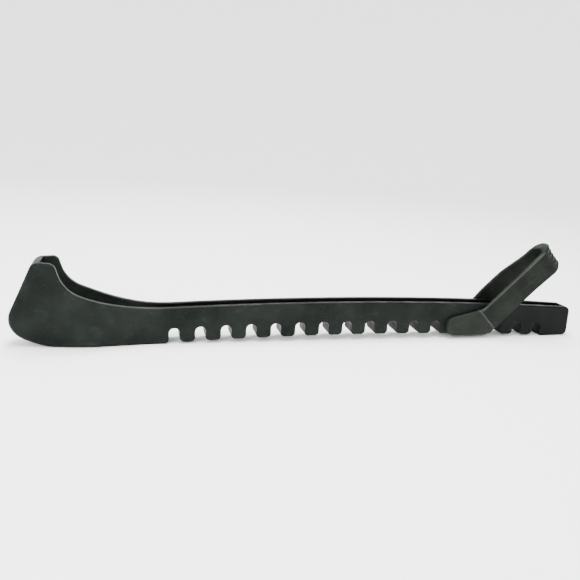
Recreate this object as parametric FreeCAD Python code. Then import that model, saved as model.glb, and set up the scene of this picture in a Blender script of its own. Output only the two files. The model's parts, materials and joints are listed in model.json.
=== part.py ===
import FreeCAD, Part
import math
import os

# A walking guard for the blade of an ice skate, with a rubber heel strap.
# The toe points to -X, the heel to +X, and the sole rests on Z = 0. All sizes are in millimetres.
# The origin is midway along the guard, on its plane of symmetry, at the level it stands on.

Vector = FreeCAD.Vector

# ---- Guard: overall sizes ----
CHANNEL_WIDTH = 12.8
WALL = 3.3
WALL_HEIGHT = 18.5
TOE_HEIGHT = 43.8
EDGE_ROUND = 0.8

# ---- Guard: arched sole with a row of notches ----
SOLE_ARCH_RADIUS = 2365.0
SOLE_ARCH_CREST_X = 29.0
SOLE_ARCH_RISE = 3.2
NOTCH_COUNT = 17
NOTCH_PITCH = 13.8
NOTCH_WIDTH = 5.7
NOTCH_HEIGHT = 8.0
NOTCH_FIRST_X = -84.7
NOTCH_TOP_ROUND = 2.7
TOOTH_CORNER_ROUND = 2.2

TOP_ARCH_CREST_X = 31.0
TOP_ARCH_HALF_CHORD = 120.0

# ---- Guard: corners of the side view as (x, z, radius) ----
NOSE_FOOT_CORNERS = [(-158.4, 4.2, 11.0), (-146.0, 0, 22.0)]
HEEL_CORNERS = [(162.5, 0, 3.4), (161.7, 18.3, 3.0)]
TOE_UPPER_CORNERS = [
    (-107.1, 18.7, 105.0),
    (-136.2, 30.7, 17.0),
    (-140.3, TOE_HEIGHT, 3.5),
    (-150.6, TOE_HEIGHT, 4.8),
    (-164.4, 12.8, 11.0),
]

# ---- Guard: blade slot and the hollow of the toe cup, corners as (x, z, radius) ----
SLOT_FLOOR_ABOVE_SOLE = 10.0
FLOOR_ARCH_HALF_CHORD = 125.0
SLOT_REAR_X = 157.6
HOLLOW_FRONT_FLOOR_CORNERS = [(-152.6, 8.5, 6.0), (-112.0, 8.5, 80.0)]
SLOT_REAR_FLOOR_Z = 9.6
SLOT_REAR_ROUND = 1.5
HOLLOW_TOP_FRONT_X = -143.8
HOLLOW_NOSE_CORNER = (-159.3, 15.0, 8.6)

# ---- Guard: plan view of the toe, whose walls lean outwards as they rise ----
# Half widths are given at the ground and at the toe's top, at the nose line and at the bulge.
NOSE_LINE_X = -165.0
BULGE_X = -127.0
FLARE_X = -92.0
NOSE_HALF_LOW = 5.4
NOSE_HALF_HIGH = 4.1
BULGE_HALF_LOW = 10.4
BULGE_HALF_HIGH = 15.6
BULGE_SETBACK = 9.0
FLARE_SETBACK = 10.0

# ---- Strap ----
BODY_GAP = 0.3
STRAP_THICKNESS = 2.7
STRAP_EDGE_ROUND = 0.7
STRAP_FIRST_NOTCH = 12
STRAP_BOTTOM_Z = 2.2
FLEX_X = 107.2
FLEX_Z = 15.6
ARM_ANGLE = 45.0
EAR_FRONT_X = 76.2
EAR_FRONT_TOP_Z = 12.4
EAR_FRONT_LOW_ROUND = 5.8
EAR_FRONT_TOP_ROUND = 5.0
EAR_REAR_LOW_CORNER_X = 104.12
EAR_REAR_LOW_ROUND = 10.0
EAR_ROOT_CORNER = (99.28, 18.0, 14.0)
EAR_INTO_ARM = 3.0
ARM_HALF_WIDTH = 7.3
BRIDGE_HALF_WIDTH = 8.2
LOOP_LENGTH = 52.0
LOOP_END_THICKNESS = 5.6
EAR_END = 5.0
RIB_COUNT = 5
RIB_PITCH = 3.2
RIB_WIDTH = 1.5
RIB_HEIGHT = 0.5
RIB_ROOT_DEPTH = 0.5
RIB_START = 4.5
ARM_WIDENS_AT = 30.0
ARM_WIDENING_ROUND = 60.0
BRIDGE_CORNER_ROUND = 2.0

# ---- Modelling aids ----
OVERCUT = 10.0
CUTTER_SIZE = 60.0
SHORTEST_LINE = 0.0001
TOUCHING = 0.001

CHANNEL_HALF = CHANNEL_WIDTH / 2
EAR_INNER_Y = CHANNEL_HALF + BODY_GAP
EAR_OUTER_Y = EAR_INNER_Y + STRAP_THICKNESS


def sole_z(x):
    """Height of the arched sole above the ground."""
    return SOLE_ARCH_RISE - (x - SOLE_ARCH_CREST_X) ** 2 / (2 * SOLE_ARCH_RADIUS)


def notch_left_x(index):
    return NOTCH_FIRST_X + index * NOTCH_PITCH


def rounded_wire(corners, place):
    """Closed wire through corners (u, v, radius), each turned with a tangent arc of that radius."""
    count = len(corners)
    starts = []
    mids = []
    ends = []
    for i in range(count):
        here = Vector(corners[i][0], corners[i][1], 0)
        back = (Vector(corners[i - 1][0], corners[i - 1][1], 0) - here).normalize()
        following = corners[(i + 1) % count]
        ahead = (Vector(following[0], following[1], 0) - here).normalize()
        radius = corners[i][2]
        half_angle = back.getAngle(ahead) / 2
        setback = radius / math.tan(half_angle)
        inward = (back + ahead).normalize()
        starts.append(here + back * setback)
        mids.append(here + inward * (radius / math.sin(half_angle) - radius))
        ends.append(here + ahead * setback)
    edges = []
    for i in range(count):
        if corners[i][2] > 0:
            arc = Part.Arc(place(starts[i]), place(mids[i]), place(ends[i]))
            edges.append(arc.toShape())
        line_start = place(ends[i])
        line_end = place(starts[(i + 1) % count])
        if line_start.distanceToPoint(line_end) > SHORTEST_LINE:
            edges.append(Part.LineSegment(line_start, line_end).toShape())
    return Part.Wire(Part.__sortEdges__(edges))


def side_prism(corners, y_low, y_high):
    """Prism of a side-view outline given as (x, z, radius)."""
    wire = rounded_wire(corners, lambda p: Vector(p.x, y_low, p.y))
    return Part.Face(wire).extrude(Vector(0, y_high - y_low, 0))


def bend_radius(before, corner, after, setback):
    """Radius of the arc that turns a corner and starts that far before it, measured along X."""
    into = math.atan2(corner[1] - before[1], corner[0] - before[0])
    out_of = math.atan2(after[1] - corner[1], after[0] - corner[0])
    return setback / math.tan(abs(out_of - into) / 2)


def plan_wire(z, nose_half, bulge_half, inset):
    """Plan outline at height z: straight channel, hollow bend, round bulge, taper to the nose."""
    nose = (NOSE_LINE_X, nose_half - inset)
    bulge = (BULGE_X, bulge_half - inset)
    flare = (FLARE_X, CHANNEL_HALF - inset)
    rear = (HEEL_CORNERS[0][0] + OVERCUT, CHANNEL_HALF - inset)
    bulge_round = bend_radius(nose, bulge, flare, BULGE_SETBACK)
    flare_round = bend_radius(bulge, flare, rear, FLARE_SETBACK)
    near = [
        (nose[0], -nose[1], 0),
        (bulge[0], -bulge[1], bulge_round),
        (flare[0], -flare[1], flare_round),
        (rear[0], -rear[1], 0),
    ]
    far = [(x, -y, radius) for x, y, radius in reversed(near)]
    return rounded_wire(near + far, lambda p: Vector(p.x, p.y, z))


def plan_body(inset):
    """Upright body over the plan view, from the ground to the toe's top, its walls moved in by inset."""
    low = plan_wire(0, NOSE_HALF_LOW, BULGE_HALF_LOW, inset)
    high = plan_wire(TOE_HEIGHT, NOSE_HALF_HIGH, BULGE_HALF_HIGH, inset)
    return Part.makeLoft([low, high], True, True)


def arch_corner_z(height, half_chord):
    """Height at which the two end tangents of an arch parallel to the sole meet."""
    radius = SOLE_ARCH_RADIUS + height
    return SOLE_ARCH_RISE + height + half_chord ** 2 / (2 * radius)


def notch_corners(index):
    """The four corners of one notch, from its toe side to its heel side."""
    left = notch_left_x(index)
    right = left + NOTCH_WIDTH
    top = sole_z((left + right) / 2) + NOTCH_HEIGHT
    left_mouth = 0 if index == 0 else sole_z(left)
    right_mouth = 0 if index == NOTCH_COUNT - 1 else sole_z(right)
    return [
        (left, left_mouth, TOOTH_CORNER_ROUND),
        (left, top, NOTCH_TOP_ROUND),
        (right, top, NOTCH_TOP_ROUND),
        (right, right_mouth, TOOTH_CORNER_ROUND),
    ]


def guard_outline():
    """Side view of the guard: upturned toe, flat pads front and rear, notched arch, toe cup."""
    notches = []
    for index in range(NOTCH_COUNT):
        notches += notch_corners(index)
    top_corner_z = arch_corner_z(WALL_HEIGHT, TOP_ARCH_HALF_CHORD)
    top_arch = [(TOP_ARCH_CREST_X, top_corner_z, SOLE_ARCH_RADIUS)]
    return NOSE_FOOT_CORNERS + notches + HEEL_CORNERS + top_arch + TOE_UPPER_CORNERS


def slot_outline():
    """Side view of the hollow: blade slot with an arched floor, opening into the toe cup."""
    above = TOE_HEIGHT + OVERCUT
    floor_corner_z = arch_corner_z(SLOT_FLOOR_ABOVE_SOLE, FLOOR_ARCH_HALF_CHORD)
    return HOLLOW_FRONT_FLOOR_CORNERS + [
        (SOLE_ARCH_CREST_X, floor_corner_z, SOLE_ARCH_RADIUS),
        (SLOT_REAR_X, SLOT_REAR_FLOOR_Z, SLOT_REAR_ROUND),
        (SLOT_REAR_X, above, 0),
        (HOLLOW_TOP_FRONT_X, above, 0),
        HOLLOW_NOSE_CORNER,
    ]


def outline_edges(solid, seam_length):
    """Edges that run round the two side faces, without the tall seams within a side face."""
    chosen = []
    clear_of_middle = CHANNEL_HALF / 4
    for edge in solid.Edges:
        box = edge.BoundBox
        is_seam = box.XLength < TOUCHING and box.ZLength > seam_length
        if abs(edge.CenterOfMass.y) > clear_of_middle and not is_seam:
            chosen.append(edge)
    return chosen


def make_guard_body():
    outer_side = side_prism(guard_outline(), -BULGE_HALF_HIGH - OVERCUT, BULGE_HALF_HIGH + OVERCUT)
    inner_side = side_prism(slot_outline(), -BULGE_HALF_HIGH, BULGE_HALF_HIGH)
    shell = outer_side.common(plan_body(0)).Solids[0]
    shell = shell.makeFillet(EDGE_ROUND, outline_edges(shell, WALL_HEIGHT / 2))
    return shell.cut(inner_side.common(plan_body(WALL))).Solids[0]


def arm_place():
    """Places a shape drawn with X along the strap's arm at the point where the arm flexes."""
    turn = FreeCAD.Rotation(Vector(0, 1, 0), -ARM_ANGLE)
    return FreeCAD.Placement(Vector(FLEX_X, 0, FLEX_Z), turn)


def along_arm(distance, sideways):
    """Point in the side view at a distance along the arm and sideways across it."""
    angle = math.radians(ARM_ANGLE)
    x = FLEX_X + distance * math.cos(angle) - sideways * math.sin(angle)
    z = FLEX_Z + distance * math.sin(angle) + sideways * math.cos(angle)
    return x, z


def ear_outline():
    """Side view of one ear of the strap, running on a little way into the arm."""
    lower_x, lower_z = along_arm(EAR_INTO_ARM, -ARM_HALF_WIDTH)
    upper_x, upper_z = along_arm(EAR_INTO_ARM, ARM_HALF_WIDTH)
    return [
        (EAR_FRONT_X, STRAP_BOTTOM_Z, EAR_FRONT_LOW_ROUND),
        (EAR_REAR_LOW_CORNER_X, STRAP_BOTTOM_Z, EAR_REAR_LOW_ROUND),
        (lower_x, lower_z, 0),
        (upper_x, upper_z, 0),
        EAR_ROOT_CORNER,
        (EAR_FRONT_X, EAR_FRONT_TOP_Z, EAR_FRONT_TOP_ROUND),
    ]


def outer_face_edges(ear):
    """Edges round the face of an ear that points away from the guard."""
    return [edge for edge in ear.Edges if edge.BoundBox.YMin > EAR_OUTER_Y - TOUCHING]


def make_ear():
    """One ear plate, ending in a hollow round face that the arm's round end turns in."""
    ear = side_prism(ear_outline(), EAR_INNER_Y, EAR_OUTER_Y)
    half = CUTTER_SIZE / 2
    beyond = Part.makeBox(half, CUTTER_SIZE, CUTTER_SIZE, Vector(-EAR_END, -half, -half))
    socket_radius = ARM_HALF_WIDTH + BODY_GAP
    socket = Part.makeCylinder(socket_radius, CUTTER_SIZE, Vector(0, -half, 0), Vector(0, 1, 0))
    beyond.Placement = arm_place()
    socket.Placement = arm_place()
    ear = ear.makeFillet(STRAP_EDGE_ROUND, outer_face_edges(ear))
    return ear.cut(beyond).cut(socket).Solids[0]


def peg_outline(index):
    """Side view of a cross peg that fills one notch with a small gap all round."""
    left = notch_left_x(index) + BODY_GAP
    right = left + NOTCH_WIDTH - 2 * BODY_GAP
    top = sole_z((left + right) / 2) + NOTCH_HEIGHT - BODY_GAP
    top_round = NOTCH_TOP_ROUND - BODY_GAP
    return [
        (left, STRAP_BOTTOM_Z, 0),
        (right, STRAP_BOTTOM_Z, 0),
        (right, top, top_round),
        (left, top, top_round),
    ]


def make_strap_foot():
    """Two ears joined through the sole by two cross pegs."""
    ear = make_ear()
    foot = ear.fuse(ear.mirror(Vector(0, 0, 0), Vector(0, 1, 0)))
    peg_reach = EAR_INNER_Y + STRAP_THICKNESS / 2
    for index in (STRAP_FIRST_NOTCH, STRAP_FIRST_NOTCH + 1):
        foot = foot.fuse(side_prism(peg_outline(index), -peg_reach, peg_reach))
    return foot.removeSplitter().Solids[0]


def loop_side_outline():
    """Side view of the loop along its arm: round root, slightly wider bridge end."""
    bridge_x = LOOP_LENGTH + 2 * RIB_HEIGHT
    return [
        (-ARM_HALF_WIDTH, -ARM_HALF_WIDTH, ARM_HALF_WIDTH),
        (ARM_WIDENS_AT, -ARM_HALF_WIDTH, ARM_WIDENING_ROUND),
        (bridge_x, -BRIDGE_HALF_WIDTH, BRIDGE_CORNER_ROUND),
        (bridge_x, BRIDGE_HALF_WIDTH, BRIDGE_CORNER_ROUND),
        (ARM_WIDENS_AT, ARM_HALF_WIDTH, ARM_WIDENING_ROUND),
        (-ARM_HALF_WIDTH, ARM_HALF_WIDTH, ARM_HALF_WIDTH),
    ]


def bend_tube(inner_radius, outer_radius, low, high):
    """Ring round the middle of the loop's end bend, between two levels across the band."""
    centre = Vector(LOOP_LENGTH - EAR_OUTER_Y, 0, low)
    ring = Part.makeCylinder(outer_radius, high - low, centre)
    return ring.cut(Part.makeCylinder(inner_radius, high - low, centre))


def make_strap_loop():
    """Two arms and the bend that joins them, with grip ribs round the bend."""
    bend_x = LOOP_LENGTH - EAR_OUTER_Y
    reach = BRIDGE_HALF_WIDTH + OVERCUT
    length = bend_x + OVERCUT
    outer = Part.makeBox(length, 2 * EAR_OUTER_Y, 2 * reach, Vector(-OVERCUT, -EAR_OUTER_Y, -reach))
    inner = Part.makeBox(length, 2 * EAR_INNER_Y, 2 * reach, Vector(-OVERCUT, -EAR_INNER_Y, -reach))
    beyond = Part.makeBox(CUTTER_SIZE, CUTTER_SIZE, 2 * reach, Vector(bend_x, -CUTTER_SIZE / 2, -reach))
    bend = bend_tube(EAR_INNER_Y, EAR_OUTER_Y, -reach, reach).common(beyond)
    end_pad = bend_tube(EAR_INNER_Y / 2, EAR_OUTER_Y, -reach, reach).common(
        beyond.translated(Vector(LOOP_LENGTH - LOOP_END_THICKNESS - bend_x, 0, 0)))
    band = outer.cut(inner).fuse(bend).fuse(end_pad)
    side = side_prism(loop_side_outline(), -EAR_OUTER_Y - OVERCUT, EAR_OUTER_Y + OVERCUT)
    loop = band.common(side)
    rib_zone = beyond.translated(Vector(RIB_START, 0, 0))
    for k in range(RIB_COUNT):
        middle = (k - (RIB_COUNT - 1) / 2) * RIB_PITCH
        low = middle - RIB_WIDTH / 2
        rib = bend_tube(EAR_OUTER_Y - RIB_ROOT_DEPTH, EAR_OUTER_Y + RIB_HEIGHT, low, low + RIB_WIDTH)
        loop = loop.fuse(rib.common(rib_zone))
    loop = loop.removeSplitter().Solids[0]
    loop.Placement = arm_place()
    return loop


def main():
    os.makedirs("parts", exist_ok=True)
    nodes = {
        "guard_body": make_guard_body(),
        "strap_foot": make_strap_foot(),
        "strap_loop": make_strap_loop(),
    }
    for name, shape in nodes.items():
        shape.exportStep("parts/" + name + ".step")
        box = shape.BoundBox
        print(name, shape.isValid(), len(shape.Solids), round(shape.Volume), "mm3")
        print("  x %.2f %.2f  y %.2f %.2f  z %.2f %.2f" % (
            box.XMin, box.XMax, box.YMin, box.YMax, box.ZMin, box.ZMax))


main()
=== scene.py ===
"""Walking guard for a skate blade, with its rubber heel strap, on a pale studio sweep."""
import json
import math

import bmesh
import bpy
from mathutils import Matrix, Vector


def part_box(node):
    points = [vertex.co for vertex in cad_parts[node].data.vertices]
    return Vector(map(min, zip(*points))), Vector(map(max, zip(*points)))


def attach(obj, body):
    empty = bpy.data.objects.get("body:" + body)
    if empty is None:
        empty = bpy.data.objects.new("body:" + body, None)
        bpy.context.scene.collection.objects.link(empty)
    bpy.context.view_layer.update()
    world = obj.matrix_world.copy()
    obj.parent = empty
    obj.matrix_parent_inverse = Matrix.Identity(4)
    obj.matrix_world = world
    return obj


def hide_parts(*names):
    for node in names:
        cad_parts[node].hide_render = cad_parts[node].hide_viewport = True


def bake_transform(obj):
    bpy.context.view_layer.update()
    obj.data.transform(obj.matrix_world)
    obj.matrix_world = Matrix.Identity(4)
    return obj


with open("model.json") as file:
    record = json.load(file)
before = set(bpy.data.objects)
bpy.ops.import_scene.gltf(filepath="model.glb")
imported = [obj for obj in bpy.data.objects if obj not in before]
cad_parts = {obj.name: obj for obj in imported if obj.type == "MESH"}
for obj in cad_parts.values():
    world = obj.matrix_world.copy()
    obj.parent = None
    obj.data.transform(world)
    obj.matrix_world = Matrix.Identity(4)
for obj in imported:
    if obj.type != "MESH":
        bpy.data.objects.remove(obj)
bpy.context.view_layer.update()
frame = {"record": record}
guard_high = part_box("guard_body")[1]

MM = 0.001

# ---- Guard, in millimetres, as the CAD part has it ----
HEEL_X = guard_high.x / MM
TOP_Z = guard_high.z / MM
CHANNEL_HALF = 6.4
SLOT_HALF = 3.1
WALL_HEIGHT = 18.5
SLOT_FLOOR = 10.0
SLOT_REAR_X = 157.6

# The arched sole and its row of notches.
SOLE_RADIUS = 2365.0
SOLE_CREST_X = 29.0
SOLE_RISE = 3.2
NOTCH_COUNT = 17
NOTCH_PITCH = 13.8
NOTCH_WIDTH = 5.7
NOTCH_HEIGHT = 8.0
NOTCH_FIRST_X = -84.7
NOTCH_TOP_ROUND = 2.7
TOOTH_CORNER_ROUND = 2.2

# Corners of the side view as (x, z, radius).
NOSE_FOOT_CORNERS = [(-158.4, 4.2, 11.0), (-146.0, 0, 22.0)]
HEEL_CORNERS = [(162.45, 0, 3.4), (161.65, 18.3, 3.0)]
TOP_ARCH_CREST_X = 31.0
TOP_ARCH_HALF_CHORD = 120.0
TOE_UPPER_CORNERS = [
    (-107.1, 18.7, 105.0),
    (-136.2, 30.7, 17.0),
    (-140.3, TOP_Z, 3.5),
    (-150.6, TOP_Z, 4.8),
    (-164.4, 12.8, 11.0),
]
HOLLOW_FRONT_FLOOR_CORNERS = [(-152.6, 8.5, 6.0), (-112.0, 8.5, 80.0)]
FLOOR_ARCH_HALF_CHORD = 125.0
SLOT_REAR_FLOOR_CORNER = (SLOT_REAR_X, 9.6, 1.5)
HOLLOW_TOP_FRONT_X = -143.8
HOLLOW_NOSE_CORNER = (-159.3, 15.0, 8.6)
OVERCUT = 6.0

# The plan view as (x, half width) at the nose, the bulge and the start of the flare, at the ground
# and at the toe's top; the runs are half the length of the smooth turn at the flare and the bulge.
FLARE_RUN = 10.0
BULGE_RUN = 9.0
PLAN_LOW = [(-165.0, 5.4), (-127.0, 10.4), (-92.0, CHANNEL_HALF)]
PLAN_HIGH = [(-165.0, 4.1), (-127.0, 15.6), (-92.0, CHANNEL_HALF)]

# ---- Rounding of the guard's edges ----
NOSE_ROUND = 2.8
SOLE_ROUND = 1.0
NOTCH_ROUND = 0.45
HEEL_ROUND = 1.9
RIM_ROUND = 0.75
SLOT_ROUND = 0.45

# ---- Strap; q runs along its unrolled length, w across it and h outwards through it ----
BODY_GAP = 0.3
STRAP_INNER = CHANNEL_HALF + BODY_GAP
STRAP_THICK = 2.7
STRAP_INNER_ROUND = 0.5
STRAP_OUTER_ROUND = 0.8
FLEX = frame["record"]["behaviour"]["joints"][1]["pos_m"]
FLEX_X = FLEX[0] / MM
FLEX_Z = FLEX[2] / MM
ARM_ANGLE = math.radians(45)
ALONG_ARM = Vector((math.cos(ARM_ANGLE), 0, math.sin(ARM_ANGLE)))
ACROSS_ARM = Vector((-math.sin(ARM_ANGLE), 0, math.cos(ARM_ANGLE)))
ARM_HALF = 7.3
ARM_WIDENS_AT = 28.0
ARM_WIDENING_ROUND = 60.0
BRIDGE_HALF = 8.3
BRIDGE_ROUND = 16.0
BRIDGE_INTO_BEND = 5.0
LOOP_LENGTH = 52.0
LOOP_END_THICKNESS = 5.6
END_SKEW = 1.0
STRAP_BOTTOM = 2.2
EAR_CORNERS = [
    (99.28, 18.0, 14.0),
    (76.2, 12.4, 5.0),
    (76.2, STRAP_BOTTOM, 5.2),
    (104.12, STRAP_BOTTOM, 9.0),
]
FIRST_PEG = 12
PEG_LOW_ROUND = 0.8
PEG_TOP_ROUND = 2.5
PEG_INTO_EAR = 1.0
STRAP_GRID = 0.5
BEND_SAG = 2.9
FAR_ARM_RISE = 1.0
BLEND_START_Q = -6.5
BLEND_END_Q = 8.0
BEND_RADIUS = STRAP_INNER + STRAP_THICK / 2
BEND_START = LOOP_LENGTH - STRAP_INNER - STRAP_THICK
BEND_REACH = math.pi * BEND_RADIUS / 2
BEND_MIDDLE = BEND_START + BEND_REACH

# ---- Relief on the strap's outer face ----
CREASE_Q = -6.3
CREASE_CURVE = 0.035
CREASE_LIP = 0.16
ARM_THIN = 0.35
ARM_RIDGE = 0.14
LINE_HALF_WIDTH = 0.45
EAR_BEVEL_Z = 6.6
EAR_BEVEL_SLOPE = 0.13
RIB_PITCH = 3.2
RIB_HEIGHT = 0.5

# ---- Fineness of outlines ----
ARC_STEP = math.radians(6)
LONGEST_CHORD = 6.0
SHORTEST_CHORD = 0.0001


# ---------------------------------------------------------------- outlines

def rounded(corners):
    """Points of a closed outline through corners (u, v, radius), with tangent arcs at the corners."""
    points = []
    count = len(corners)
    for i, (u, v, radius) in enumerate(corners):
        here = Vector((u, v))
        back = (Vector(corners[i - 1][:2]) - here).normalized()
        ahead = (Vector(corners[(i + 1) % count][:2]) - here).normalized()
        if radius <= 0:
            points.append(here)
            continue
        half = back.angle(ahead) / 2
        setback = radius / math.tan(half)
        centre = here + (back + ahead).normalized() * (radius / math.sin(half))
        start = here + back * setback - centre
        turn = math.pi - 2 * half
        steps = max(2, math.ceil(turn / ARC_STEP), math.ceil(turn * radius / LONGEST_CHORD))
        side = 1 if back.x * ahead.y - back.y * ahead.x < 0 else -1
        for k in range(steps + 1):
            angle = side * turn * k / steps
            c, s = math.cos(angle), math.sin(angle)
            points.append(centre + Vector((start.x * c - start.y * s, start.x * s + start.y * c)))
    return [p for i, p in enumerate(points) if (p - points[i - 1]).length > SHORTEST_CHORD]


def sole_z(x):
    """Height of the arched sole above the ground."""
    return SOLE_RISE - (x - SOLE_CREST_X) ** 2 / (2 * SOLE_RADIUS)


def arch_corner_z(height, half_chord):
    """Height at which the two end tangents of an arch parallel to the sole meet."""
    return SOLE_RISE + height + half_chord ** 2 / (2 * (SOLE_RADIUS + height))


def notch_corners(index):
    """The four corners of one notch, from its toe side to its heel side."""
    left = NOTCH_FIRST_X + index * NOTCH_PITCH
    right = left + NOTCH_WIDTH
    top = sole_z((left + right) / 2) + NOTCH_HEIGHT
    left_mouth = 0 if index == 0 else sole_z(left)
    right_mouth = 0 if index == NOTCH_COUNT - 1 else sole_z(right)
    return [
        (left, left_mouth, TOOTH_CORNER_ROUND),
        (left, top, NOTCH_TOP_ROUND),
        (right, top, NOTCH_TOP_ROUND),
        (right, right_mouth, TOOTH_CORNER_ROUND),
    ]


def guard_outline():
    """Side view of the guard: upturned toe, flat pads front and rear, notched arch, toe cup."""
    notches = []
    for index in range(NOTCH_COUNT):
        notches += notch_corners(index)
    top_arch = [(TOP_ARCH_CREST_X, arch_corner_z(WALL_HEIGHT, TOP_ARCH_HALF_CHORD), SOLE_RADIUS)]
    return rounded(NOSE_FOOT_CORNERS + notches + HEEL_CORNERS + top_arch + TOE_UPPER_CORNERS)


def slot_outline():
    """Side view of the hollow: blade slot with an arched floor, opening into the toe cup."""
    above = TOP_Z + OVERCUT
    return rounded(HOLLOW_FRONT_FLOOR_CORNERS + [
        (SOLE_CREST_X, arch_corner_z(SLOT_FLOOR, FLOOR_ARCH_HALF_CHORD), SOLE_RADIUS),
        SLOT_REAR_FLOOR_CORNER,
        (SLOT_REAR_X, above, 0),
        (HOLLOW_TOP_FRONT_X, above, 0),
        HOLLOW_NOSE_CORNER,
    ])


# ---------------------------------------------------------------- mesh helpers

def outward_normals(points):
    """Unit normals pointing out of an outline that runs anticlockwise."""
    normals = []
    count = len(points)
    for i in range(count):
        before = (points[i] - points[i - 1]).normalized()
        after = (points[(i + 1) % count] - points[i]).normalized()
        along = (before + after).normalized()
        normals.append(Vector((along.y, -along.x)))
    return normals


def slab(points, low, high, low_round, high_round, segments=5):
    """Closed slab of an outline in X and Z, from Y = low to Y = high, with rounded edges.

    low_round(p) and high_round(p) give the rounding radius beside outline point p.
    """
    normals = outward_normals(points)
    bm = bmesh.new()
    levels = [(k, low, 1, low_round) for k in range(segments + 1)]
    levels += [(k, high, -1, high_round) for k in range(segments, -1, -1)]
    rings = []
    for k, face_y, into, radius_at in levels:
        turn = math.pi / 2 * k / segments
        ring = []
        for p, n in zip(points, normals):
            radius = radius_at(p)
            q = p - n * radius * (1 - math.sin(turn))
            ring.append(bm.verts.new((q.x, face_y + into * radius * (1 - math.cos(turn)), q.y)))
        rings.append(ring)
    bm.faces.new(rings[0])
    bm.faces.new(list(reversed(rings[-1])))
    count = len(points)
    for inner, outer in zip(rings, rings[1:]):
        for i in range(count):
            j = (i + 1) % count
            bm.faces.new((inner[j], inner[i], outer[i], outer[j]))
    bmesh.ops.recalc_face_normals(bm, faces=bm.faces)
    return bm


def to_object(bm, name):
    """New object in the scene from a mesh being built, which this ends."""
    mesh = bpy.data.meshes.new(name)
    bm.to_mesh(mesh)
    bm.free()
    obj = bpy.data.objects.new(name, mesh)
    bpy.context.scene.collection.objects.link(obj)
    return obj


def apply_modifiers(obj):
    graph = bpy.context.evaluated_depsgraph_get()
    mesh = bpy.data.meshes.new_from_object(obj.evaluated_get(graph))
    obj.modifiers.clear()
    obj.data = mesh


def boolean(obj, other, operation):
    """Cuts or joins another object, which this uses up."""
    modifier = obj.modifiers.new("boolean", "BOOLEAN")
    modifier.operation = operation
    modifier.solver = "EXACT"
    modifier.object = other
    apply_modifiers(obj)
    bpy.data.objects.remove(other)


def bevel_by_weight(obj, widest, segments):
    modifier = obj.modifiers.new("bevel", "BEVEL")
    modifier.limit_method = "WEIGHT"
    modifier.width = widest
    modifier.segments = segments
    modifier.use_clamp_overlap = False
    modifier.miter_outer = "MITER_ARC"
    apply_modifiers(obj)


def cut_across(bm, axis, places):
    """Cuts the mesh with planes across one axis (0, 1 or 2)."""
    normal = Vector((0, 0, 0))
    normal[axis] = 1
    for place in places:
        geometry = bm.verts[:] + bm.edges[:] + bm.faces[:]
        bmesh.ops.bisect_plane(bm, geom=geometry, dist=1e-5, plane_co=normal * place, plane_no=normal)


def steps(low, high, step):
    """Evenly spaced places from low to high, about a step apart."""
    count = int(round((high - low) / step))
    return [low + (high - low) * k / count for k in range(count + 1)]


def shade_smooth(obj):
    for polygon in obj.data.polygons:
        polygon.use_smooth = True
    modifier = obj.modifiers.new("normals", "WEIGHTED_NORMAL")
    modifier.weight = 80
    modifier.keep_sharp = True


def smooth(low, high, x):
    """Eases from 0 at low to 1 at high."""
    t = min(1, max(0, (x - low) / (high - low)))
    return t * t * (3 - 2 * t)


# ---------------------------------------------------------------- guard body

def plan_half(corners, x):
    """Half width at x of a plan view with a hollow bend at the channel and a round bulge at the toe."""
    nose, bulge, start = corners
    lead = (bulge[1] - start[1]) / (bulge[0] - start[0])
    tail = (bulge[1] - nose[1]) / (bulge[0] - nose[0])
    if x > start[0]:
        straight, near, run, turn = start[1], start, FLARE_RUN, -lead
    elif x > (bulge[0] + start[0]) / 2:
        straight, near, run, turn = start[1] + lead * (x - start[0]), start, FLARE_RUN, -lead
    elif x > bulge[0]:
        straight, near, run, turn = bulge[1] + lead * (x - bulge[0]), bulge, BULGE_RUN, lead - tail
    else:
        straight, near, run, turn = bulge[1] + tail * (x - bulge[0]), bulge, BULGE_RUN, lead - tail
    return straight + turn * max(0.0, run - abs(x - near[0])) ** 2 / (4 * run)


def flare_offset(x, z):
    """How far the walls stand out at (x, z) beyond the straight channel; they lean out at the toe."""
    low = plan_half(PLAN_LOW, x)
    high = plan_half(PLAN_HIGH, x)
    return low + (high - low) * z / TOP_Z - CHANNEL_HALF


def guard_round(p):
    """Rounding radius of the guard's side edges beside outline point p."""
    x, z = p
    heel_start = HEEL_X - 8
    if x > heel_start:
        return RIM_ROUND + (HEEL_ROUND - RIM_ROUND) * smooth(heel_start, HEEL_X - 3, x)
    if z > sole_z(max(x, -100)) + WALL_HEIGHT - 3 and x > -146:
        return RIM_ROUND
    if x > NOTCH_FIRST_X - 3:
        local = z - max(sole_z(x), 0)
        return SOLE_ROUND + (NOTCH_ROUND - SOLE_ROUND) * smooth(0.1, 2.2, local)
    height = smooth(10, TOP_Z - 1, z)
    base = SOLE_ROUND + (RIM_ROUND - SOLE_ROUND) * height
    nose = smooth(-125, -150, x) * smooth(TOP_Z - 1, TOP_Z - 8, z)
    return base + (NOSE_ROUND - base) * nose


def even_round(radius):
    """Rounding that is the same all along an outline."""
    return lambda p: radius


def is_slot_rim(edge):
    """True on the upper edges of the slot, where its walls meet the top of the guard."""
    if len(edge.link_faces) != 2 or edge.calc_face_angle(0) < math.radians(40):
        return False
    a, b = edge.verts[0].co, edge.verts[1].co
    across = abs(a.x - b.x) < 0.01 and abs(a.y - b.y) > 0.01
    inside = max(abs(a.y), abs(b.y)) < SLOT_HALF + 0.01
    upright = abs(a.z - b.z) > abs(a.x - b.x) * 4 and not across and a.z < TOP_Z - 12 and b.x > -130
    return inside and not upright and min(a.z, b.z) > sole_z(max(a.x, -100)) + WALL_HEIGHT - 2


def square_slab(points, half):
    """Slab of an outline that reaches as far on both sides and has square edges."""
    return slab(points, -half, half, even_round(0.0), even_round(0.0), 1)


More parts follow.
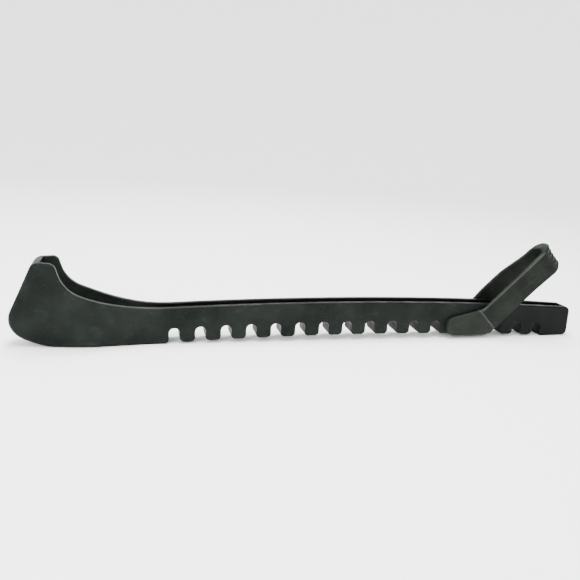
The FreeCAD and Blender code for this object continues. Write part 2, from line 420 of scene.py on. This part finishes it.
def make_guard():
    """The guard: a flat slab with its slot cut, spread sideways into the flared toe cup."""
    guard = to_object(slab(guard_outline(), -CHANNEL_HALF, CHANNEL_HALF, guard_round, guard_round), "guard")
    slot = to_object(square_slab(slot_outline(), SLOT_HALF), "slot")
    boolean(guard, slot, "DIFFERENCE")
    bm = bmesh.new()
    bm.from_mesh(guard.data)
    cut_across(bm, 0, steps(-160, -70, 1.5) + steps(-66, 156, 4.0))
    layer = bm.edges.layers.float.new("bevel_weight_edge")
    for edge in bm.edges:
        edge[layer] = 1.0 if is_slot_rim(edge) else 0.0
    bm.to_mesh(guard.data)
    bm.free()
    bevel_by_weight(guard, SLOT_ROUND, 4)
    bm = bmesh.new()
    bm.from_mesh(guard.data)
    for vertex in bm.verts:
        share = min(1, abs(vertex.co.y) / SLOT_HALF)
        vertex.co.y += math.copysign(flare_offset(vertex.co.x, vertex.co.z) * share, vertex.co.y)
        vertex.co *= MM
    bm.to_mesh(guard.data)
    bm.free()
    shade_smooth(guard)
    return guard


# ---------------------------------------------------------------- strap

def arm_coordinates(x, z):
    """Distance along the arm and sideways across it of a point in the side view."""
    dx, dz = x - FLEX_X, z - FLEX_Z
    c, s = math.cos(ARM_ANGLE), math.sin(ARM_ANGLE)
    return dx * c + dz * s, dz * c - dx * s


def strap_outline():
    """Outline of the strap unrolled flat: near ear, near arm, bend, far arm, far ear."""
    ear = [(*arm_coordinates(x, z), radius) for x, z, radius in EAR_CORNERS]
    bridge_q = BEND_START + BRIDGE_INTO_BEND
    upper = [(bridge_q, BRIDGE_HALF, BRIDGE_ROUND), (ARM_WIDENS_AT, ARM_HALF, ARM_WIDENING_ROUND)]
    lower = [(ARM_WIDENS_AT, -ARM_HALF, ARM_WIDENING_ROUND), (bridge_q, -BRIDGE_HALF, BRIDGE_ROUND)]
    near = upper + ear + lower
    far = [(2 * BEND_MIDDLE - q, w, r) for q, w, r in reversed(near)]
    return rounded(near + far)


def strap_relief(q, w):
    """How far the strap's outer face stands proud of or below the ear's face, in millimetres."""
    q = min(q, 2 * BEND_MIDDLE - q)
    crease = CREASE_Q - CREASE_CURVE * max(0, -w - 1) ** 2
    relief = -ARM_THIN * smooth(crease - 0.2, crease + 0.9, q)
    relief += CREASE_LIP * math.exp(-((q - crease) / LINE_HALF_WIDTH) ** 2)
    on_arm = smooth(4, 8, q) * (1 - smooth(34, 38, q))
    relief += ARM_RIDGE * on_arm * math.exp(-(w / LINE_HALF_WIDTH) ** 2)
    height = FLEX_Z + q * math.sin(ARM_ANGLE) + w * math.cos(ARM_ANGLE)
    if q < crease:
        relief -= EAR_BEVEL_SLOPE * max(0, EAR_BEVEL_Z - height)
    on_bend = smooth(BEND_MIDDLE - 9, BEND_MIDDLE - 6, q)
    rib = max(0, math.cos(2 * math.pi * w / RIB_PITCH)) * (1 - smooth(7.0, 7.6, abs(w)))
    return relief + RIB_HEIGHT * on_bend * rib


def droop(q):
    """How far the loop's slack upper edge sags past its bend and rises again towards the far ear."""
    share = (q - BEND_MIDDLE) / BEND_MIDDLE
    sag = BEND_SAG * smooth(-0.1, 0.25, share) * (1 - smooth(0.15, 0.6, share))
    return sag - FAR_ARM_RISE * smooth(0.25, 0.7, share) * (1 - smooth(0.85, 1.1, share))


def wrap(q, w, h):
    """Takes a point of the flat strap to its place: along the arm, round the bend, sideways, outwards."""
    w -= droop(q) * smooth(-9, 3, w)
    beyond = q - BEND_MIDDLE
    side = -1 if beyond < 0 else 1
    if abs(beyond) > BEND_REACH:
        along = BEND_START - (abs(beyond) - BEND_REACH)
        y = side * (STRAP_INNER + h)
    else:
        angle = beyond / BEND_RADIUS
        flat = (LOOP_LENGTH - LOOP_END_THICKNESS - BEND_START) / max(0.1, math.cos(angle))
        inner = (STRAP_INNER ** -6 + flat ** -6) ** (-1 / 6)
        radius = STRAP_INNER + h - (STRAP_INNER - inner) * max(0, 1 - h / STRAP_THICK)
        along = BEND_START + (radius + END_SKEW * smooth(0, 8, w)) * math.cos(angle)
        y = radius * math.sin(angle)
    c, s = math.cos(ARM_ANGLE), math.sin(ARM_ANGLE)
    return Vector((FLEX_X + along * c - w * s, y, FLEX_Z + along * s + w * c)) * MM


def peg_outline(index):
    """Side view of a cross peg that fills one notch with a small gap all round."""
    left = NOTCH_FIRST_X + index * NOTCH_PITCH + BODY_GAP
    right = left + NOTCH_WIDTH - 2 * BODY_GAP
    top = sole_z((left + right) / 2) + NOTCH_HEIGHT - BODY_GAP
    return rounded([
        (left, STRAP_BOTTOM, PEG_LOW_ROUND),
        (right, STRAP_BOTTOM, PEG_LOW_ROUND),
        (right, top, PEG_TOP_ROUND),
        (left, top, PEG_TOP_ROUND),
    ])


def make_strap():
    """The strap: an unrolled flat band with relief, wrapped to shape and joined to two cross pegs."""
    inner_round = even_round(STRAP_INNER_ROUND)
    outer_round = even_round(STRAP_OUTER_ROUND)
    bm = slab(strap_outline(), 0, STRAP_THICK, inner_round, outer_round)
    lowest = min(v.co.x for v in bm.verts)
    cut_across(bm, 0, steps(lowest + STRAP_GRID, 2 * BEND_MIDDLE - lowest - STRAP_GRID, STRAP_GRID))
    cut_across(bm, 2, steps(-8.5, 19, STRAP_GRID))
    for vertex in bm.verts:
        q, h, w = vertex.co
        outward = smooth(STRAP_THICK / 2, STRAP_THICK - 0.5, h)
        vertex.co = wrap(q, w, h + outward * strap_relief(q, w))
    strap = to_object(bm, "strap")
    for index in (FIRST_PEG, FIRST_PEG + 1):
        peg = to_object(square_slab(peg_outline(index), STRAP_INNER + PEG_INTO_EAR), "peg")
        peg.data.transform(Matrix.Scale(MM, 4))
        boolean(strap, peg, "UNION")
    shade_smooth(strap)
    return strap


# ---------------------------------------------------------------- materials

def node(tree, kind, **inputs):
    """New shader node with some of its inputs set; an underscore stands for a space in their names."""
    made = tree.nodes.new(kind)
    for name, value in inputs.items():
        made.inputs[name.replace("_", " ")].default_value = value
    return made


def link(tree, source, target):
    tree.links.new(source, target)


def math_node(tree, operation, *values):
    """Math node that works on sockets or plain numbers."""
    made = tree.nodes.new("ShaderNodeMath")
    made.operation = operation
    for target, value in zip(made.inputs, values):
        if isinstance(value, float):
            target.default_value = value
        else:
            link(tree, value, target)
    return made.outputs[0]


def noise(tree, place, scale, detail, stretch=(1, 1, 1)):
    """Noise between about 0.3 and 0.7 at a scale in waves per metre, drawn out along some axes."""
    mapping = node(tree, "ShaderNodeMapping", Scale=stretch)
    link(tree, place, mapping.inputs["Vector"])
    made = node(tree, "ShaderNodeTexNoise", Scale=scale, Detail=detail, Roughness=0.55)
    link(tree, mapping.outputs["Vector"], made.inputs["Vector"])
    return made.outputs["Fac"]


def ranged(tree, value, low, high, to_low, to_high):
    """Maps low to high on to to_low to to_high, and holds the ends beyond them."""
    made = node(tree, "ShaderNodeMapRange", From_Min=low, From_Max=high, To_Min=to_low, To_Max=to_high)
    link(tree, value, made.inputs["Value"])
    return made.outputs["Result"]


def mixed(tree, factor, first, second):
    """Mixes two colours; each may be a colour or a socket."""
    made = tree.nodes.new("ShaderNodeMix")
    made.data_type = "RGBA"
    link(tree, factor, made.inputs[0])
    for index, colour in ((6, first), (7, second)):
        if isinstance(colour, tuple):
            made.inputs[index].default_value = (*colour, 1)
        else:
            link(tree, colour, made.inputs[index])
    return made.outputs[2]


def moulded_material(name, dark, light, scuff, roughness, grain_scale, grain_depth, grain_strength,
                     specular):
    """Moulded black plastic or rubber: cloudy tone, dry scuffs, dull specks, uneven gloss, fine grain."""
    material = bpy.data.materials.new(name)
    material.use_nodes = True
    tree = material.node_tree
    shader = tree.nodes["Principled BSDF"]
    place = tree.nodes.new("ShaderNodeTexCoord").outputs["Object"]
    clouds = ranged(tree, noise(tree, place, 55.0, 6.0), 0.36, 0.64, 0.0, 1.0)
    tone = mixed(tree, clouds, dark, light)
    scrapes = ranged(tree, noise(tree, place, 240.0, 5.0, (0.45, 1, 1)), 0.6, 0.8, 0.0, 0.4)
    worn = mixed(tree, scrapes, tone, scuff)
    specks = ranged(tree, noise(tree, place, 900.0, 2.0), 0.62, 0.74, 0.0, 0.35)
    link(tree, mixed(tree, specks, worn, scuff), shader.inputs["Base Color"])
    gloss = ranged(tree, noise(tree, place, 140.0, 6.0), 0.35, 0.65, *roughness)
    link(tree, gloss, shader.inputs["Roughness"])
    fine = node(tree, "ShaderNodeBump", Strength=grain_strength, Distance=grain_depth)
    link(tree, noise(tree, place, grain_scale, 3.0), fine.inputs["Height"])
    waves = node(tree, "ShaderNodeBump", Strength=0.25, Distance=0.0004)
    link(tree, noise(tree, place, 70.0, 2.0), waves.inputs["Height"])
    link(tree, fine.outputs["Normal"], waves.inputs["Normal"])
    link(tree, waves.outputs["Normal"], shader.inputs["Normal"])
    shader.inputs["Specular IOR Level"].default_value = specular
    return material


def tint_where(material, mask_of, colour):
    """Blends a colour into a material's base colour where a mask of the place, from 0 to 1, says so."""
    tree = material.node_tree
    place = tree.nodes.new("ShaderNodeTexCoord").outputs["Object"]
    base = tree.nodes["Principled BSDF"].inputs["Base Color"]
    under = base.links[0].from_socket
    link(tree, mixed(tree, mask_of(tree, place), under, colour), base)


def split(tree, place):
    """Distance along the part, and distance to either side of its plane of symmetry, in metres."""
    parts = tree.nodes.new("ShaderNodeSeparateXYZ")
    link(tree, place, parts.inputs[0])
    return parts.outputs["X"], math_node(tree, "ABSOLUTE", parts.outputs["Y"])


def inner_walls_painted_shade(tree, place):
    """Up to 0.9 within the channel's side faces, in the slot and in the notches: painted shade in these
    recesses.
    """
    along, aside = split(tree, place)
    within = ranged(tree, aside, 0.0056, 0.0062, 0.9, 0.0)
    behind_toe = ranged(tree, along, -0.1, -0.088, 0.0, 1.0)
    return math_node(tree, "MULTIPLY", within, behind_toe)


def heel_painted_shade(tree, place):
    """Rises from 0 to 0.8 towards the heel: painted shade that darkens the guard towards its heel end."""
    along = split(tree, place)[0]
    return ranged(tree, along, 0.085, 0.15, 0.0, 0.8)


def arm_distance(tree, place, direction):
    """Distance in metres from the arm's root in a direction."""
    made = tree.nodes.new("ShaderNodeVectorMath")
    made.operation = "DOT_PRODUCT"
    link(tree, place, made.inputs[0])
    made.inputs[1].default_value = direction
    root = direction.dot(Vector((FLEX_X, 0, FLEX_Z)) * MM)
    return math_node(tree, "SUBTRACT", made.outputs["Value"], root)


def ear_face(tree, place):
    """0.16 on the ears, which are a little paler than the arms."""
    return ranged(tree, arm_distance(tree, place, ALONG_ARM), -0.0068, -0.0058, 0.16, 0.0)


def crease_painted_highlight(tree, place):
    """Up to 0.9 along the crease where the arm leaves the ear: a painted highlight on its raised lip,
    broken along its length.
    """
    at = CREASE_Q * MM
    along = arm_distance(tree, place, ALONG_ARM)
    rising = ranged(tree, along, at - 0.0006, at - 0.0001, 0.0, 1.0)
    falling = ranged(tree, along, at + 0.0002, at + 0.0008, 1.0, 0.0)
    broken = ranged(tree, noise(tree, place, 300.0, 4.0), 0.3, 0.6, 0.3, 0.9)
    return math_node(tree, "MULTIPLY", math_node(tree, "MULTIPLY", rising, falling), broken)


def arm_edge_painted_highlight(tree, place):
    """Up to 0.75 along the upper outer edge of the arms: a painted highlight on the rounded edge."""
    aside = split(tree, place)[1]
    outer = ranged(tree, aside, 0.0083, 0.0088, 0.0, 1.0)
    upper = ranged(tree, arm_distance(tree, place, ACROSS_ARM), 0.0067, 0.0071, 0.0, 0.75)
    along = arm_distance(tree, place, ALONG_ARM)
    on_arm = ranged(tree, along, CREASE_Q * MM, (CREASE_Q + 3) * MM, 0.0, 1.0)
    return math_node(tree, "MULTIPLY", math_node(tree, "MULTIPLY", outer, upper), on_arm)


# ---------------------------------------------------------------- studio

def make_sweep():
    """Pale floor that curves up all round, so that it has no horizon."""
    flat = 0.9
    bend = 0.5
    top = 0.9
    bend_steps = 12
    turns = 96
    profile = [(flat / 2, 0.0)]
    for k in range(bend_steps + 1):
        angle = math.pi / 2 * k / bend_steps
        profile.append((flat + bend * math.sin(angle), bend * (1 - math.cos(angle))))
    profile.append((flat + bend, top))
    bm = bmesh.new()
    rings = []
    for radius, height in profile:
        ring = []
        for k in range(turns):
            angle = 2 * math.pi * k / turns
            ring.append(bm.verts.new((radius * math.cos(angle), radius * math.sin(angle), height)))
        rings.append(ring)
    bm.faces.new(rings[0])
    for inner, outer in zip(rings, rings[1:]):
        for k in range(turns):
            j = (k + 1) % turns
            bm.faces.new((inner[k], outer[k], outer[j], inner[j]))
    sweep = to_object(bm, "sweep")
    for polygon in sweep.data.polygons:
        polygon.use_smooth = True
    material = bpy.data.materials.new("pale_floor")
    material.use_nodes = True
    shader = material.node_tree.nodes["Principled BSDF"]
    shader.inputs["Base Color"].default_value = (0.86, 0.86, 0.86, 1)
    shader.inputs["Roughness"].default_value = 0.9
    sweep.data.materials.append(material)


def area_light(name, place, aim, size, power):
    """Rectangular light in metres and watts, turned towards a point."""
    light = bpy.data.lights.new(name, "AREA")
    light.shape = "RECTANGLE"
    light.size, light.size_y = size
    light.energy = power
    obj = bpy.data.objects.new(name, light)
    bpy.context.scene.collection.objects.link(obj)
    obj.location = place
    obj.rotation_euler = (Vector(aim) - Vector(place)).to_track_quat("-Z", "Y").to_euler()


def make_lights():
    world = bpy.data.worlds.new("studio")
    bpy.context.scene.world = world
    world.use_nodes = True
    background = world.node_tree.nodes["Background"]
    background.inputs["Color"].default_value = (1, 1, 1, 1)
    background.inputs["Strength"].default_value = 2.3
    area_light("overhead", (-0.05, 0.02, 0.8), (0, 0, 0), (0.7, 0.3), 20)
    area_light("front_left", (-0.7, -0.7, 0.5), (-0.05, 0, 0.02), (0.5, 0.4), 11)


# ---------------------------------------------------------------- camera

CAMERA_AIM = Vector((-0.0187, 0.0, 0.02793))
CAMERA_YAW = math.radians(15.35)
CAMERA_PITCH = math.radians(15.02)
CAMERA_ROLL = math.radians(4.05)
CAMERA_DISTANCE = 0.3404
CAMERA_LENS = 38.11


def make_camera():
    data = bpy.data.cameras.new("camera")
    data.lens = CAMERA_LENS
    data.sensor_width = 36
    data.clip_start = 0.01
    camera = bpy.data.objects.new("camera", data)
    bpy.context.scene.collection.objects.link(camera)
    turn = Matrix.Rotation(-CAMERA_YAW, 4, "Z") @ Matrix.Rotation(math.pi / 2 - CAMERA_PITCH, 4, "X")
    turn = turn @ Matrix.Rotation(CAMERA_ROLL, 4, "Z")
    forward = turn @ Vector((0, 0, -1))
    camera.matrix_world = Matrix.Translation(CAMERA_AIM - forward * CAMERA_DISTANCE) @ turn
    bpy.context.scene.camera = camera


make_camera()
make_lights()
make_sweep()

guard = make_guard()
guard.name = "guard_moulding"
guard_plastic = moulded_material(
    "guard_plastic",
    dark=(0.0031, 0.0047, 0.0038),
    light=(0.0076, 0.01, 0.0082),
    scuff=(0.023, 0.026, 0.023),
    roughness=(0.34, 0.5),
    grain_scale=2200.0,
    grain_depth=0.00012,
    grain_strength=0.3,
    specular=0.05)
# Painted shade: the guard is darkened towards its heel end.
tint_where(guard_plastic, heel_painted_shade, (0.0012, 0.0016, 0.0014))
# Painted shade: the walls of the slot and the notches are darkened.
tint_where(guard_plastic, inner_walls_painted_shade, (0.0008, 0.001, 0.0009))
guard.data.materials.append(guard_plastic)
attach(guard, "guard")
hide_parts("guard_body")

strap = make_strap()
strap.name = "heel_strap"
strap_rubber = moulded_material(
    "strap_rubber",
    dark=(0.0038, 0.0052, 0.0038),
    light=(0.0098, 0.0122, 0.0095),
    scuff=(0.03, 0.033, 0.028),
    roughness=(0.4, 0.58),
    grain_scale=1800.0,
    grain_depth=0.00015,
    grain_strength=0.35,
    specular=0.06)
tint_where(strap_rubber, ear_face, (0.03, 0.034, 0.028))
# Painted highlight along the crease where the arm leaves the ear.
tint_where(strap_rubber, crease_painted_highlight, (0.042, 0.046, 0.04))
# Painted highlight along the upper outer edge of the arms.
tint_where(strap_rubber, arm_edge_painted_highlight, (0.036, 0.04, 0.034))
strap.data.materials.append(strap_rubber)
bend_start = wrap(BLEND_START_Q, 0, 0)
bend_end = wrap(BLEND_END_Q, 0, 0)
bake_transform(strap)
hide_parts("strap_foot", "strap_loop")
